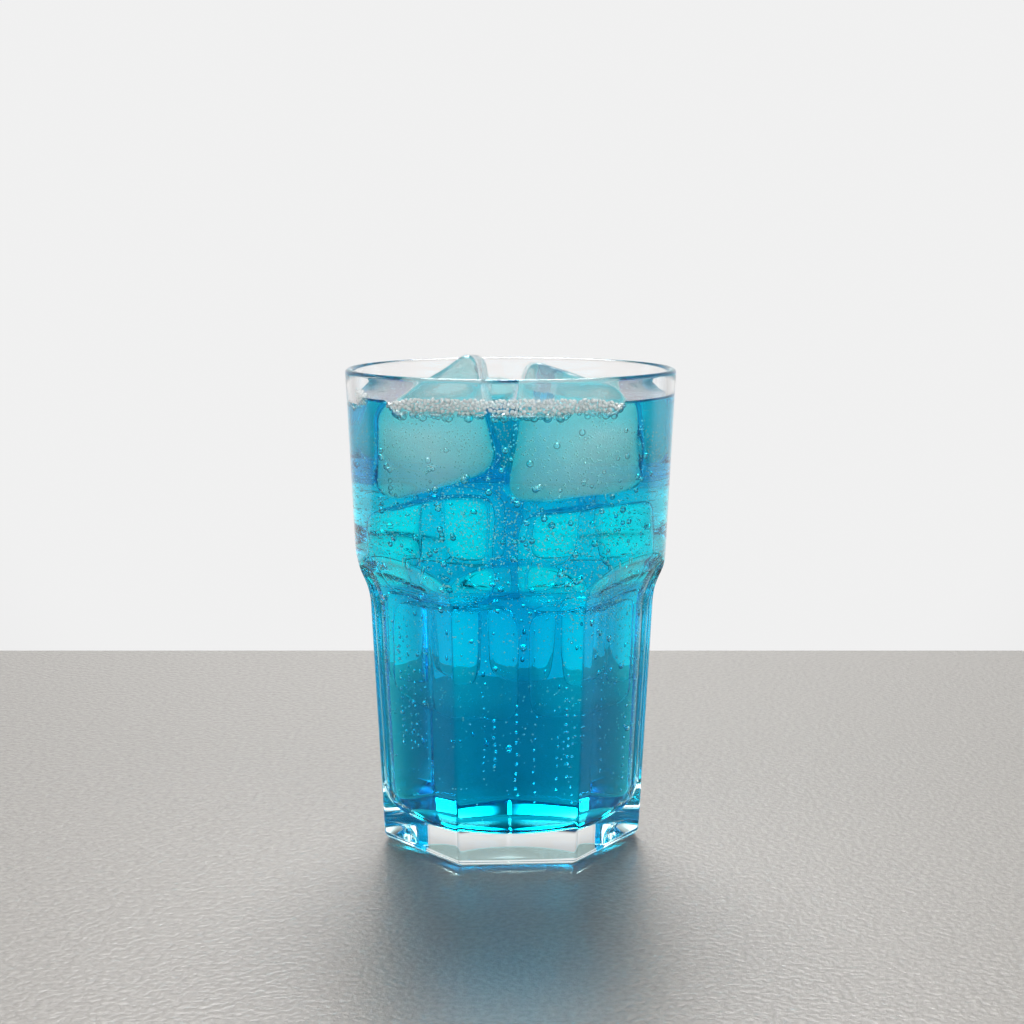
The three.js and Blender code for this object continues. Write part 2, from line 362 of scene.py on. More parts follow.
def lump(point, seed):
    """How far melted ice stands out at a point of its surface."""
    place = Vector(point) / LUMP_LENGTH + Vector((seed * LUMP_SEED_X, seed * LUMP_SEED_Y, 0))
    fine = FINE_LUMP_RISE * noise.noise(place * FINE_LUMP_TIMES)
    return LUMP_RISE * noise.noise(place) - LUMP_SINK + fine


def turn_matrix(turn):
    return np.array(Euler([angle * DEGREE for angle in turn], "XYZ").to_matrix())


def smooth_step(low, high, value):
    share = np.clip((value - low) / (high - low), 0, 1)
    return share * share * (3 - 2 * share)


def melt_radius(z):
    """How far from the axis the ice may reach."""
    wall = np.array([inner_radius(height) for height in z])
    return wall - MELT_GAP - FROTH_MELT_DEPTH * smooth_step(FROTH_MELT_FROM, FROTH_MELT_TO, z)


def ice_block(spec, seed):
    """One of the four top cubes, in metres, melted back along the wall."""
    size, centre, turn, slopes = spec
    points, faces = ice_points(size, slopes, seed)
    points = points @ turn_matrix(turn).T + np.array(centre)
    radius = np.hypot(points[:, 0], points[:, 1])
    points[:, :2] *= (smooth_min(radius, melt_radius(points[:, 2]), MELT_BLEND) / radius)[:, None]
    return points * MM, faces


def ice_heart(spec, seed):
    """The cloud in a top cube, which ends just under the drink's surface."""
    points, faces = ice_block(spec, seed)
    centre = np.array(spec[1]) * MM
    points = centre + (points - centre) * HEART_SHARE
    height = points[:, 2] / MM
    points[:, 2] = smooth_min(height, np.full(len(height), DRINK_LEVEL - HEART_DEPTH), HEART_BLEND) * MM
    return points, faces


def faces_of(spec):
    """The outward normals and the distances of a block's six faces."""
    size, turn = spec[0], spec[2]
    slope = spec[3][0] if len(spec) > 3 else 0
    bottom = np.array([slope, 0, -1]) / math.hypot(slope, 1)
    local = np.vstack([np.eye(3), -np.eye(3)[:2], [bottom]])
    half = np.array(size) / 2
    distances = np.concatenate([half, half[:2], [half[2] / math.hypot(slope, 1)]])
    return local @ turn_matrix(turn).T, distances


def limits_on(number):
    """Planes that a sunk block stays within, as normals and distances from its centre."""
    centre = np.array(SUNK_ICE[number][1])
    normals, distances = faces_of(SUNK_ICE[number])
    normals, distances = list(normals), list(distances)
    for other, (_, other_centre, _) in enumerate(SUNK_ICE):
        between = np.array(other_centre) - centre
        if other != number:
            normals.append(between / np.linalg.norm(between))
            distances.append(np.linalg.norm(between) / 2 - SUNK_ICE_GAP)
    for spec in TOP_ICE.values():
        face_normals, face_distances = faces_of(spec)
        clear = face_normals @ (centre - np.array(spec[1])) - face_distances * (1 + ICE_TAPER)
        nearest = clear.argmax()
        normals.append(-face_normals[nearest])
        distances.append(clear[nearest] - SUNK_ICE_GAP)
    return np.array(normals), np.array(distances)


def sunk_block(number):
    """A block bounded by its own faces, its neighbours and the wall, its edges melted round."""
    unit, faces = sphere(SUNK_ICE_LEVEL)
    unit /= np.linalg.norm(unit, axis=1, keepdims=True)
    centre = np.array(SUNK_ICE[number][1])
    normals, distances = limits_on(number)
    nearness = np.maximum(unit @ normals.T, 0) / distances
    total = (nearness**SUNK_ICE_EDGE_POWER).sum(axis=1) + wall_nearness(SUNK_ICE[number], unit)
    reach = total ** (-1 / SUNK_ICE_EDGE_POWER)
    lumps = np.array([lump(point, number + SUNK_ICE_SEED) for point in unit * reach[:, None]])
    points = unit * (reach + lumps)[:, None] + centre
    return points * MM, faces.tolist()


# The way to the wall is found in a few passes, because the wall slopes
WALL_PASSES = 4
FARTHEST_WALL = 60
STRAIGHT_UP = 1e-9


def wall_nearness(block, unit):
    """How near the wall is to a block's centre along each direction, to the edge power."""
    centre = np.array(block[1])
    half_height = block[0][2] / 2
    reach = np.full(len(unit), half_height)
    across = (unit[:, :2] ** 2).sum(axis=1) + STRAIGHT_UP
    along = unit[:, :2] @ centre[:2]
    for _ in range(WALL_PASSES):
        height = centre[2] + np.clip(reach * unit[:, 2], -half_height, half_height)
        wall = np.array([inner_radius(z) for z in height]) - SUNK_ICE_WALL_GAP
        inside = centre[:2] @ centre[:2] - wall**2
        reach = (np.sqrt(along**2 - across * inside) - along) / across
        reach = np.minimum(reach, FARTHEST_WALL)
    return reach ** -SUNK_ICE_EDGE_POWER


def joined(parts):
    """Several (points, faces) as one."""
    points, faces, start = [], [], 0
    for part_points, part_faces in parts:
        points.append(part_points)
        faces += [[index + start for index in face] for face in part_faces]
        start += len(part_points)
    return np.vstack(points), faces


def flipped(faces):
    return [face[::-1] for face in faces]


def swollen(points, centre):
    """A block a hair larger, so that the drink's hollow never touches the ice in it."""
    middle = np.array(centre) * MM
    return middle + (points - middle) * HOLLOW_SWELL


# The drink
def froth_share(bank, radius, angle):
    """How much froth presses the surface down there, from 0 to 1."""
    away = abs((angle / DEGREE - bank["middle"] + 180) % 360 - 180)
    along = min(max((bank["half"] - away) / FROTH_HOLLOW_END, 0), 1)
    wall = inner_radius(DRINK_LEVEL)
    across = min(max((radius - (wall - bank["width"])) / FROTH_HOLLOW_EDGE, 0), 1)
    return along * across


def surface_height(radius, angle):
    """The drink's surface, which climbs the wall a little and lies lower under the froth."""
    wall = inner_radius(DRINK_LEVEL)
    rise = MENISCUS_RISE * math.exp((radius - wall) / MENISCUS_WIDTH)
    share = max(froth_share(FROTH_FRONT, radius, angle), froth_share(FROTH_SIDE, radius, angle))
    spot = Vector((radius * math.sin(angle), radius * math.cos(angle), 0))
    ripple = RIPPLE_RISE * noise.noise(spot / RIPPLE_LENGTH)
    hollow = FROTH_HOLLOW + FROTH_HOLLOW_UNEVEN * noise.noise(spot / FROTH_HOLLOW_LENGTH)
    return DRINK_LEVEL + rise * (1 - share) - share * hollow + ripple


def drink_skin():
    """The drink's floor, corner, wall and surface; all but the last reach a little into the glass."""
    rings = []
    corner = floor_corner(WALL_OVERLAP)[::-1]
    floor_edge = corner[0][0]
    floor_z = FLOOR_Z - WALL_OVERLAP
    for t in DISC_STEPS[:-1]:
        rings.append(ring(floor_edge * t, floor_z, ANGLES))
    for r, z in corner:
        rings.append(ring(r, z, ANGLES))
    for z in np.linspace(WALL_FOOT, DRINK_WALL_TOP, DRINK_WALL_RINGS)[1:]:
        rings.append(ring(inner_radius(z) + WALL_OVERLAP, z, ANGLES))
    edge = inner_radius(DRINK_LEVEL + MENISCUS_RISE) + WALL_OVERLAP
    near_edge = np.linspace(0, SURFACE_EDGE, SURFACE_EDGE_RINGS)
    near_heart = np.linspace(SURFACE_EDGE, edge - SURFACE_HEART, SURFACE_HEART_RINGS)[1:]
    for step in np.concatenate([near_edge, near_heart]):
        heights = [surface_height(edge - step, angle + GLASS_TURN) for angle in ANGLES]
        rings.append(ring(edge - step, np.array(heights), ANGLES))
    return skin(rings, (0, 0, floor_z * MM), (0, 0, DRINK_LEVEL * MM))


def make_drink(material):
    """The drink, hollow where the sunk ice lies and cut round the top cubes."""
    hollows = []
    for number in range(len(SUNK_ICE)):
        points, faces = sunk_block(number)
        hollows.append((swollen(points, SUNK_ICE[number][1]), flipped(faces)))
    points, faces = joined([drink_skin()] + hollows)
    piece = new_piece("drink_body", points, faces, material)
    cutters = []
    for number, spec in enumerate(TOP_ICE.values()):
        points, faces = ice_block(spec, number)
        cutters.append((swollen(points, spec[1]), faces))
    points, faces = joined(cutters)
    cutter = new_piece("ice_cutter", points, faces, material)
    cut = piece.modifiers.new("ice", "BOOLEAN")
    cut.operation = "DIFFERENCE"
    cut.solver = "MANIFOLD"
    cut.object = cutter
    apply_modifiers(piece)
    bpy.data.objects.remove(cutter)
    piece.data.set_sharp_from_angle(angle=SHARP_ANGLE)
    mark_faces(piece, "open", is_open_surface)
    return piece


# How far a face's centre may lie off a surface and still belong to it
SURFACE_MISS = 0.3
SURFACE_LOWEST = DRINK_LEVEL - 2.5
SURFACE_LEAST_UP = 0.15
WALL_MISS = 0.5
FLOOR_MISS = 0.1


def is_open_surface(centre, normal):
    """Whether a face of the drink meets the air, and not the glass or the ice."""
    if centre.z < SURFACE_LOWEST or normal.z < SURFACE_LEAST_UP:
        return False
    height = surface_height(math.hypot(centre.x, centre.y), math.atan2(centre.x, -centre.y))
    return abs(centre.z - height) < SURFACE_MISS


def is_wetted_wall(centre, _):
    """Whether a face of the glass is inside it and under the drink."""
    radius = math.hypot(centre.x, centre.y)
    if centre.z < FLOOR_Z - FLOOR_MISS or radius > inner_radius(centre.z) + WALL_MISS:
        return False
    return centre.z < surface_height(radius, math.atan2(centre.x, -centre.y))


def mark_faces(piece, name, test):
    """Writes on each face whether it passes a test of its centre and normal, in mm."""
    faces = piece.data.polygons
    marks = [float(test(face.center / MM, face.normal)) for face in faces]
    piece.data.attributes.new(name, "FLOAT", "FACE").data.foreach_set("value", marks)


def apply_modifiers(piece):
    evaluated = piece.evaluated_get(bpy.context.evaluated_depsgraph_get())
    mesh = bpy.data.meshes.new_from_object(evaluated)
    piece.modifiers.clear()
    piece.data = mesh


# Bubbles
BUBBLE_CLEAR = 0.06
FROTH_TAPER_POWER = 6
FROTH_END_RISE = 0.5
FROTH_END_SHARE = 0.45
FROTH_SAG = 1.1
FROTH_SAG_WAVES = 9
FROTH_SAG_SEED = 2
FROTH_CROWDING = 1.6
FROTH_SQUEEZE = 0.97


def sphere(level):
    """Points and triangles of a ball of radius 1."""
    ball = bmesh.new()
    bmesh.ops.create_icosphere(ball, subdivisions=level, radius=1)
    points = np.array([vertex.co for vertex in ball.verts])
    faces = np.array([[vertex.index for vertex in face.verts] for face in ball.faces])
    ball.free()
    return points, faces


def make_bubbles(name, spots, level, material):
    """One piece of many balls; spots are (x, y, z, radius) in mm."""
    unit, faces = sphere(level)
    spots = np.array(spots)
    points = (unit[None] * spots[:, None, 3:] + spots[:, None, :3]).reshape(-1, 3) * MM
    starts = np.arange(len(spots))[:, None, None] * len(unit)
    return new_piece(name, points, (faces[None] + starts).reshape(-1, 3), material)


def on_wall(angle, z, radius):
    """A ball of that radius just inside the wall, at an angle in degrees from the front."""
    away = inner_radius(z) - radius - BUBBLE_CLEAR
    return (away * math.sin(angle * DEGREE), -away * math.cos(angle * DEGREE), z, radius)


def packed_froth(bank, low, high, small, large, tries):
    """Balls packed in a bank of froth along the wall, which thins out towards its ends."""
    cell = 2 * large
    grid = {}
    spots = []
    for _ in range(tries):
        radius = random.uniform(small, large)
        along = random.uniform(-1, 1)
        angle = (bank["middle"] + bank["half"] * along) * DEGREE
        taper = 1 - abs(along) ** FROTH_TAPER_POWER
        sag = FROTH_SAG * noise.noise(Vector((angle * FROTH_SAG_WAVES, FROTH_SAG_SEED, 0)))
        bottom = low + FROTH_END_RISE * (1 - taper) + sag
        top = bottom + (high - bottom) * (FROTH_END_SHARE + (1 - FROTH_END_SHARE) * taper)
        z = random.uniform(bottom + radius, top - radius)
        inward = (bank["width"] - 2 * radius) * random.random() ** FROTH_CROWDING
        depth = radius + BUBBLE_CLEAR + inward
        away = inner_radius(z) - depth
        spot = (away * math.sin(angle), -away * math.cos(angle), z, radius)
        key = tuple(int(value // cell) for value in spot[:3])
        near = [other for dx in (-1, 0, 1) for dy in (-1, 0, 1) for dz in (-1, 0, 1)
                for other in grid.get((key[0] + dx, key[1] + dy, key[2] + dz), [])]
        if all(math.dist(spot[:3], other[:3]) > FROTH_SQUEEZE * (radius + other[3]) for other in near):
            grid.setdefault(key, []).append(spot)
            spots.append(spot)
    return spots


# Materials
def new_material(name):
    material = bpy.data.materials.new(name)
    material.use_nodes = True
    tree = material.node_tree
    tree.nodes.clear()
    output = tree.nodes.new("ShaderNodeOutputMaterial")
    return material, tree, output


def bump_from_noise(tree, shader, scale, detail, distance, strength):
    """Gives a shader the relief of a noise, its scale in waves per metre, its distance in metres."""
    place = tree.nodes.new("ShaderNodeTexCoord")
    wave = tree.nodes.new("ShaderNodeTexNoise")
    wave.inputs["Scale"].default_value = scale
    wave.inputs["Detail"].default_value = detail
    bump = tree.nodes.new("ShaderNodeBump")
    bump.inputs["Distance"].default_value = distance
    bump.inputs["Strength"].default_value = strength
    tree.links.new(place.outputs["Object"], wave.inputs["Vector"])
    tree.links.new(wave.outputs["Fac"], bump.inputs["Height"])
    tree.links.new(bump.outputs["Normal"], shader.inputs["Normal"])
    return wave


GLASS_IOR = 1.5
DRINK_IOR = 1.34
ICE_IOR = 1.31
ICE_ROUGHNESS = 0.02
WHITE = (1, 1, 1)
REFLECTION_TINT = (0.03, 0.25, 0.35)

# What the glass, the drink and the ice sunk in it let through, and how much they
# take up or scatter per metre
GLASS_TINT = (0.7, 0.93, 0.9)
GLASS_DENSITY = 2.5
DRINK_TINT = (0.0, 0.915, 0.963)
COLOUR_DENSITY = 240
# The high row's tint lets more through than the low row's: painted light and shade, the sunk ice lighter
# high up and darker lower down
HIGH_ICE_LIT_TINT = (0.0, 0.996, 1.0)
LOW_ICE_SHADED_TINT = (0.0, 0.965, 0.995)
PEAK_MILK = 14
HEART_MILK = 55

# The colours of a froth bead from its white middle to its painted dark outline (painted shade at its
# rim), and of the table's grain
BEAD_PAINTED_OUTLINE = ((0.45, (0.98, 1.0, 1.0)), (0.85, (0.12, 0.26, 0.3)))
STONE_SHADES = ((0.3, (0.172, 0.162, 0.149)), (0.7, (0.264, 0.248, 0.228)))
STONE_ROUGHNESS = 0.32


def principled(tree, colour, roughness, ior, transmission):
    shader = tree.nodes.new("ShaderNodeBsdfPrincipled")
    shader.inputs["Base Color"].default_value = (*colour, 1)
    shader.inputs["Roughness"].default_value = roughness
    shader.inputs["IOR"].default_value = ior
    shader.inputs["Transmission Weight"].default_value = transmission
    return shader


def clear_shader(tree, ior, roughness=0):
    """A clear surface in air, its reflections tinted so that the blue stays clean."""
    shader = principled(tree, WHITE, roughness, ior, transmission=1)
    shader.inputs["Specular Tint"].default_value = (*REFLECTION_TINT, 1)
    return shader


def shade_by(tree, value, shader, stops):
    """Colours a shader by a value, through two stops, each a value and a colour."""
    shade = tree.nodes.new("ShaderNodeValToRGB")
    for element, (position, colour) in zip(shade.color_ramp.elements, stops):
        element.position = position
        element.color = (*colour, 1)
    tree.links.new(value, shade.inputs["Fac"])
    tree.links.new(shade.outputs["Color"], shader.inputs["Base Color"])


def sunk_shader(tree, ior, roughness=0):
    """A clear surface where two clear things meet, its refraction relative to the outer one."""
    shader = tree.nodes.new("ShaderNodeBsdfGlass")
    shader.inputs["Roughness"].default_value = roughness
    shader.inputs["IOR"].default_value = ior
    return shader


def blend_shaders(tree, share, unmarked, marked, output):
    """Gives a material one shader where the share is 0 and another where it is 1."""
    mix = tree.nodes.new("ShaderNodeMixShader")
    tree.links.new(share, mix.inputs["Fac"])
    tree.links.new(unmarked.outputs["BSDF"], mix.inputs[1])
    tree.links.new(marked.outputs["BSDF"], mix.inputs[2])
    tree.links.new(mix.outputs["Shader"], output.inputs["Surface"])


def face_mark(tree, name):
    mark = tree.nodes.new("ShaderNodeAttribute")
    mark.attribute_name = name
    return mark.outputs["Fac"]


def colour_inside(tree, output, tint, density):
    """Takes light up inside by a tint and a density per metre."""
    inside = tree.nodes.new("ShaderNodeVolumeAbsorption")
    inside.inputs["Color"].default_value = (*tint, 1)
    inside.inputs["Density"].default_value = density
    tree.links.new(inside.outputs["Volume"], output.inputs["Volume"])


def glass_material():
    material, tree, output = new_material("clear_glass")
    dry = clear_shader(tree, GLASS_IOR)
    wet = sunk_shader(tree, GLASS_IOR / DRINK_IOR)
    bump_from_noise(tree, dry, scale=55, detail=1, distance=0.0006, strength=0.05)
    blend_shaders(tree, face_mark(tree, "wet"), dry, wet, output)
    colour_inside(tree, output, GLASS_TINT, GLASS_DENSITY)
    return material


def drink_material():
    material, tree, output = new_material("blue_drink")
    surface = clear_shader(tree, DRINK_IOR)
    unseen = tree.nodes.new("ShaderNodeBsdfTransparent")
    bump_from_noise(tree, surface, scale=90, detail=1, distance=0.0004, strength=0.06)
    blend_shaders(tree, face_mark(tree, "open"), unseen, surface, output)
    colour_inside(tree, output, DRINK_TINT, COLOUR_DENSITY)
    return material


def ice_material(name, tint=None):
    """Ice, refracting less where it is under the drink: tinted by drink that has seeped in, the low row's
    darker tint being painted shade, or milky.
    """
    material, tree, output = new_material(name)
    dry = clear_shader(tree, ICE_IOR, ICE_ROUGHNESS)
    wet = sunk_shader(tree, ICE_IOR / DRINK_IOR, ICE_ROUGHNESS)
    bump_from_noise(tree, dry, scale=260, detail=3, distance=0.0006, strength=0.25)
    bump_from_noise(tree, wet, scale=90, detail=0, distance=0.0006, strength=0.05)
    place = tree.nodes.new("ShaderNodeTexCoord")
    axes = tree.nodes.new("ShaderNodeSeparateXYZ")
    under = tree.nodes.new("ShaderNodeMath")
    under.operation = "LESS_THAN"
    under.inputs[1].default_value = DRINK_LEVEL * MM
    tree.links.new(place.outputs["Object"], axes.inputs["Vector"])
    tree.links.new(axes.outputs["Z"], under.inputs[0])
    blend_shaders(tree, under.outputs["Value"], dry, wet, output)
    if tint:
        colour_inside(tree, output, tint, COLOUR_DENSITY)
    else:
        milk_inside(tree, output, PEAK_MILK)
    return material


def milk_inside(tree, output, density):
    """Scatters light inside by a density per metre."""
    milk = tree.nodes.new("ShaderNodeVolumeScatter")
    milk.inputs["Color"].default_value = (*WHITE, 1)
    milk.inputs["Density"].default_value = density
    tree.links.new(milk.outputs["Volume"], output.inputs["Volume"])


def heart_material():
    """The cloud of trapped air in the part of a cube that is under the drink."""
    material, tree, output = new_material("cloudy_heart")
    shader = principled(tree, WHITE, roughness=0, ior=1, transmission=1)
    tree.links.new(shader.outputs["BSDF"], output.inputs["Surface"])
    milk_inside(tree, output, HEART_MILK)
    return material


def bubble_material():
    material, tree, output = new_material("air_bubble")
    shader = sunk_shader(tree, 1 / DRINK_IOR)
    tree.links.new(shader.outputs["BSDF"], output.inputs["Surface"])
    return material


def froth_material():
    """Small bubbles, white in the middle with a dark outline painted where their surface turns away
    (painted shade), partly clear.
    """
    material, tree, output = new_material("froth_bead")
    shader = principled(tree, WHITE, roughness=0.08, ior=1.25, transmission=0.25)
    painted_outline = tree.nodes.new("ShaderNodeLayerWeight")
    # Painted shade: the bead's colour turns dark teal towards its rim, by how far its surface faces away
    shade_by(tree, painted_outline.outputs["Facing"], shader, BEAD_PAINTED_OUTLINE)
    tree.links.new(shader.outputs["BSDF"], output.inputs["Surface"])
    return material


def speck_material():
    """Micro-bubbles, too small to show more than a pale dot."""
    material, tree, output = new_material("micro_bubble")
    shader = principled(tree, (0.5, 1.0, 1.0), roughness=0.15, ior=1.06, transmission=0.4)
    tree.links.new(shader.outputs["BSDF"], output.inputs["Surface"])
    return material


def table_material():
    """Pale stone with a fine, shallow grain."""
    material, tree, output = new_material("pale_stone")
    shader = tree.nodes.new("ShaderNodeBsdfPrincipled")
    shader.inputs["Roughness"].default_value = STONE_ROUGHNESS
    grain = bump_from_noise(tree, shader, scale=620, detail=6, distance=0.0008, strength=0.28)
    shade_by(tree, grain.outputs["Fac"], shader, STONE_SHADES)
    tree.links.new(shader.outputs["BSDF"], output.inputs["Surface"])
    return material


# The pieces
def ride_and_slot(piece, slot, *nodes):
    """Hands a piece over with its body and the nodes that it stands in for; its slot is not used."""
    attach(piece, "root")
    if nodes:
        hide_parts(*nodes)


glass = make_glass(glass_material())
ride_and_slot(glass, "clear_glass", "glass")

drink = make_drink(drink_material())
ride_and_slot(drink, "blue_drink", "drink")

ICE = ice_material("milky_ice")
hearts = []
for number, (node, spec) in enumerate(TOP_ICE.items()):
    points, faces = ice_block(spec, number)
    cube = new_piece(node + "_block", points, faces, ICE)
    ride_and_slot(cube, "ice", node)
    hearts.append(ice_heart(spec, number))
points, faces = joined(hearts)
ride_and_slot(new_piece("ice_hearts", points, faces, heart_material()), "ice")

# Two copies of the sunk ice, the low row's darker as painted shade
HIGH_ICE = ice_material("sunk_ice", HIGH_ICE_LIT_TINT)
LOW_ICE_SHADED = ice_material("low_ice_shaded", LOW_ICE_SHADED_TINT)
rows = {"ice_sunk_high": [], "ice_sunk_low_shaded": []}
for number, block in enumerate(SUNK_ICE):
    row = "ice_sunk_low_shaded" if block[1][2] < LOW_ROW_UNDER else "ice_sunk_high"
    rows[row].append(sunk_block(number))
for name, look in (("ice_sunk_high", HIGH_ICE), ("ice_sunk_low_shaded", LOW_ICE_SHADED)):
    points, faces = joined(rows[name])
    ride_and_slot(new_piece(name, points, faces, look), "ice")

AIR = bubble_material()
BEAD = froth_material()
SPECK = speck_material()

# How finely the balls of each kind are divided
AIR_LEVEL = 3
BEAD_LEVEL = 2
SPECK_LEVEL = 1

HANG_LEAST = 0.8
HANG_MOST = 1.3


def hanging_bubbles(bank, count, small, large):
    """Air bubbles that hang from a bank of froth into the drink."""
    spots = []
    for _ in range(count):
        angle = bank["middle"] + bank["half"] * random.uniform(-1, 1)
        radius = random.uniform(small, large)
        away = inner_radius(FROTH_LOW) - radius
        z = surface_height(away, angle * DEGREE) - radius * random.uniform(HANG_LEAST, HANG_MOST)
        spots.append(on_wall(angle, z, radius))
    return spots


front_spots = packed_froth(FROTH_FRONT, FROTH_LOW, FROTH_HIGH + 0.2, small=0.38, large=0.66, tries=22000)
froth = make_bubbles("froth_front_beads", front_spots, BEAD_LEVEL, BEAD)
ride_and_slot(froth, "froth", "froth_front")
side_spots = packed_froth(FROTH_SIDE, FROTH_LOW + 0.3, FROTH_HIGH, small=0.32, large=0.55, tries=3500)
froth = make_bubbles("froth_side_beads", side_spots, BEAD_LEVEL, BEAD)
ride_and_slot(froth, "froth", "froth_side")
hanging = hanging_bubbles(FROTH_FRONT, count=150, small=0.35, large=0.65)
hanging += hanging_bubbles(FROTH_FRONT, count=30, small=0.75, large=1.2)
hanging += hanging_bubbles(FROTH_SIDE, count=30, small=0.3, large=0.6)
ride_and_slot(make_bubbles("froth_air", hanging, AIR_LEVEL, AIR), "froth")

# Bubbles on the wall. Ranges are (least, most), heights (lowest, highest, likeliest),
# and angles are in degrees either side of the front
STRINGS = 14
STRING_ANGLE = 70
STRING_START = (11, 30)
STRING_RADIUS = (0.22, 0.45)
STRING_BUBBLES = (5, 14)
STRING_SWAY = 0.5
STRING_STEP = (1.6, 3.6)
LARGE_COUNT = 95
LARGE_ANGLE = 62
LARGE_HEIGHTS = (60, 116, 98)
LARGE_RADIUS = (0.45, 0.95)
SPREAD_COUNT = 260
SPREAD_HEIGHTS = (14, 117, 100)
SPREAD_SMALLEST = 0.3
SPREAD_RANGE = 0.7
SPREAD_POWER = 2.2
SPECKLES = 9500
SPECKLE_LEVELS = (12, 117.5)
SPECKLE_LIKELIEST = 112
SPECKLE_RADIUS = (0.11, 0.25)
LOOSE_SHARE = 0.4
CLOUDS = 46
CLOUD_HEIGHTS = (60, 117, 108)
CLOUD_SPREAD = 10
CLOUD_RISE = 5


def bubble_strings():
    """Strings of small bubbles that rise along the front of the wall."""
    spots = []
    for _ in range(STRINGS):
        angle = random.uniform(-STRING_ANGLE, STRING_ANGLE)
        z = random.uniform(*STRING_START)
        radius = random.uniform(*STRING_RADIUS)
        for _ in range(random.randint(*STRING_BUBBLES)):
            spots.append(on_wall(angle, z, radius))
            angle += random.gauss(0, STRING_SWAY)
            z += random.uniform(*STRING_STEP)
    return spots


def single_bubbles():
    """Larger bubbles on the front of the wall, then mostly small ones all round."""
    spots = []
    for _ in range(LARGE_COUNT):
        z = random.triangular(*LARGE_HEIGHTS)
        spots.append(on_wall(random.uniform(-LARGE_ANGLE, LARGE_ANGLE), z, random.uniform(*LARGE_RADIUS)))
    for _ in range(SPREAD_COUNT):
        z = random.triangular(*SPREAD_HEIGHTS)
        angle = random.uniform(-180, 180)
        spots.append(on_wall(angle, z, SPREAD_SMALLEST + SPREAD_RANGE * random.random() ** SPREAD_POWER))
    return spots


def speckles():
    """Micro-bubbles on the wall: some spread out, most in clouds near the surface."""
    spots = []
    lowest, highest = SPECKLE_LEVELS
    clouds = [(random.uniform(-180, 180), random.triangular(*CLOUD_HEIGHTS)) for _ in range(CLOUDS)]
    while len(spots) < SPECKLES:
        if random.random() < LOOSE_SHARE:
            angle = random.uniform(-180, 180)
            z = random.triangular(lowest, highest, SPECKLE_LIKELIEST)
        else:
            middle, height = random.choice(clouds)
            angle = random.gauss(middle, CLOUD_SPREAD)
            z = random.gauss(height, CLOUD_RISE)
        if lowest < z < highest:
            spots.append(on_wall(angle, z, random.uniform(*SPECKLE_RADIUS)))
    return spots


wall_spots = bubble_strings() + single_bubbles()
ride_and_slot(make_bubbles("wall_bubbles", wall_spots, AIR_LEVEL, AIR), "froth")
ride_and_slot(make_bubbles("fine_bubbles", speckles(), SPECK_LEVEL, SPECK), "froth")


# Table, light and camera
TABLE_BACK = 224
TABLE_FRONT = -1400
TABLE_HALF_WIDTH = 1500
TABLE_THICKNESS = 30
TABLE_GAP = 0.05
TABLE_EDGE = 1.5
TABLE_EDGE_STEPS = 3


def make_table():
    """A table top that ends a little way behind the glass, just under its foot."""
    table = bmesh.new()
    bmesh.ops.create_cube(table, size=1)
    size = Vector((2 * TABLE_HALF_WIDTH, TABLE_BACK - TABLE_FRONT, TABLE_THICKNESS)) * MM
    middle = Vector((0, (TABLE_BACK + TABLE_FRONT) / 2, -TABLE_THICKNESS / 2 - TABLE_GAP)) * MM
    bmesh.ops.transform(table, matrix=Matrix.Diagonal((*size, 1)), verts=table.verts)
    bmesh.ops.translate(table, vec=middle, verts=table.verts)
    edge = TABLE_EDGE * MM
    bmesh.ops.bevel(table, geom=table.edges[:], offset=edge, segments=TABLE_EDGE_STEPS, affect="EDGES")
    mesh = bpy.data.meshes.new("table")
    table.to_mesh(mesh)
    table.free()
    mesh.materials.append(table_material())
    piece = bpy.data.objects.new("table", mesh)
    bpy.context.scene.collection.objects.link(piece)


# Brightness by the cosine of a direction's angle from straight behind the glass. The
# plain wall is what lies within 18 degrees of that, which is all that the camera sees
WALL_LIGHT = 0.875
STUDIO_LIGHT = (
    (-1.0, 2.8),
    (-0.45, 3.3),
    (-0.2, 0.45),
    (0.02, 0.3),
    (0.4, 0.3),
    (0.5, 1.05),
    (0.6, 1.1),
    (0.78, 0.65),
    (0.86, 0.7),
    (0.95, WALL_LIGHT),
    (1.0, WALL_LIGHT),
)

# High up the studio is dimmer, but for a softbox behind the glass
SKY_DIMS_FROM = 14 * DEGREE
SKY_DIMS_TO = 36 * DEGREE
SKY_DIM = 0.2
SOFTBOX_LIGHT = 23
SOFTBOX_HEIGHT = 51 * DEGREE
SOFTBOX_HEART = 7 * DEGREE
SOFTBOX_EDGE = 20 * DEGREE


def eased_range(tree, start, end, at_start, at_end):
    """A node that goes smoothly from one value to another as its input goes from start to end."""
    node = tree.nodes.new("ShaderNodeMapRange")
    node.interpolation_type = "SMOOTHSTEP"
    node.inputs["From Min"].default_value = start
    node.inputs["From Max"].default_value = end
    node.inputs["To Min"].default_value = at_start
    node.inputs["To Max"].default_value = at_end
    return node


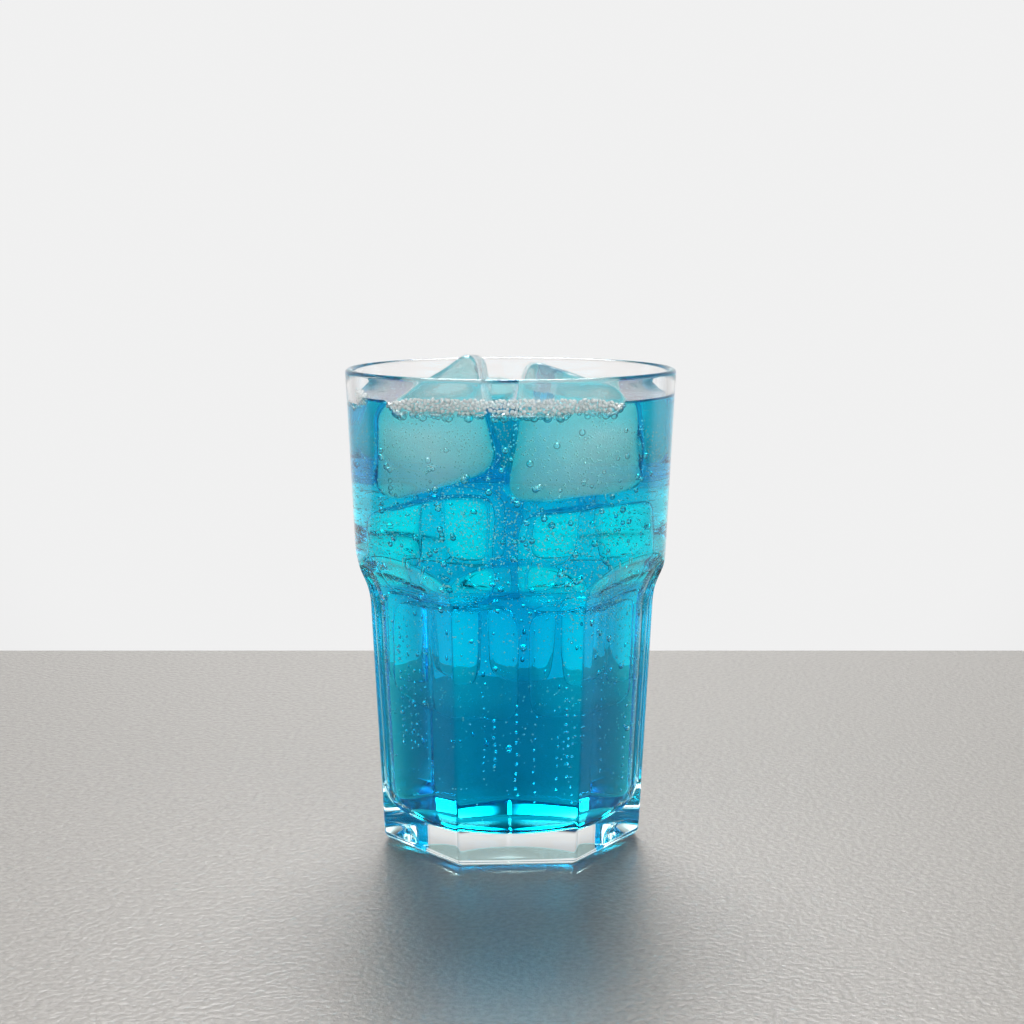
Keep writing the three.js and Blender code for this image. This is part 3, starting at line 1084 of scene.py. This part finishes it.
def make_world():
    """A plain wall behind, dim sides, a bright room in front and a softbox high behind."""
    world = bpy.data.worlds.new("studio")
    bpy.context.scene.world = world
    world.use_nodes = True
    tree = world.node_tree
    tree.nodes.clear()
    output = tree.nodes.new("ShaderNodeOutputWorld")
    glow = tree.nodes.new("ShaderNodeBackground")
    place = tree.nodes.new("ShaderNodeTexCoord")
    axes = tree.nodes.new("ShaderNodeSeparateXYZ")
    facing = tree.nodes.new("ShaderNodeVectorMath")
    facing.operation = "DOT_PRODUCT"
    facing.inputs[1].default_value = (0, math.cos(SOFTBOX_HEIGHT), math.sin(SOFTBOX_HEIGHT))
    softbox = eased_range(tree, math.cos(SOFTBOX_EDGE), math.cos(SOFTBOX_HEART), 0, SOFTBOX_LIGHT)
    overhead = eased_range(tree, math.sin(SKY_DIMS_FROM), math.sin(SKY_DIMS_TO), 1, SKY_DIM)
    low = tree.nodes.new("ShaderNodeVectorMath")
    low.operation = "MULTIPLY"
    both = tree.nodes.new("ShaderNodeVectorMath")
    towards = tree.nodes.new("ShaderNodeMapRange")
    towards.inputs["From Min"].default_value = -1
    ramp = tree.nodes.new("ShaderNodeValToRGB")
    elements = ramp.color_ramp.elements
    while len(elements) < len(STUDIO_LIGHT):
        elements.new(0.5)
    for element, (cosine, light) in zip(elements, STUDIO_LIGHT):
        element.position = (cosine + 1) / 2
        element.color = (light, light, light, 1)
    link = tree.links.new
    link(place.outputs["Generated"], axes.inputs["Vector"])
    link(axes.outputs["Y"], towards.inputs["Value"])
    link(towards.outputs["Result"], ramp.inputs["Fac"])
    link(place.outputs["Generated"], facing.inputs[0])
    link(facing.outputs["Value"], softbox.inputs["Value"])
    link(axes.outputs["Z"], overhead.inputs["Value"])
    link(ramp.outputs["Color"], low.inputs[0])
    link(overhead.outputs["Result"], low.inputs[1])
    link(low.outputs["Vector"], both.inputs[0])
    link(softbox.outputs["Result"], both.inputs[1])
    link(both.outputs["Vector"], glow.inputs["Color"])
    link(glow.outputs["Background"], output.inputs["Surface"])


CAMERA_PLACE = (0.37, -490.2, 161.1)
CAMERA_PITCH = 8.436 * DEGREE
CAMERA_FOCAL_PIXELS = 1841.4
CAMERA_NEAREST = 0.01
PICTURE_PIXELS = 1024
SENSOR_WIDTH = 36


def make_camera():
    camera = bpy.data.cameras.new("camera")
    camera.sensor_width = SENSOR_WIDTH
    camera.lens = SENSOR_WIDTH * CAMERA_FOCAL_PIXELS / PICTURE_PIXELS
    camera.clip_start = CAMERA_NEAREST
    eye = bpy.data.objects.new("camera", camera)
    eye.location = Vector(CAMERA_PLACE) * MM
    eye.rotation_euler = (math.pi / 2 - CAMERA_PITCH, 0, 0)
    bpy.context.scene.collection.objects.link(eye)
    bpy.context.scene.camera = eye


def set_light_paths():
    scene = bpy.context.scene
    scene.view_settings.view_transform = "Standard"
    scene.cycles.max_bounces = 40
    scene.cycles.transmission_bounces = 40
    scene.cycles.glossy_bounces = 12
    scene.cycles.transparent_max_bounces = 24
    scene.cycles.diffuse_bounces = 4
    scene.cycles.volume_bounces = 12


make_table()
make_world()
make_camera()
set_light_paths()
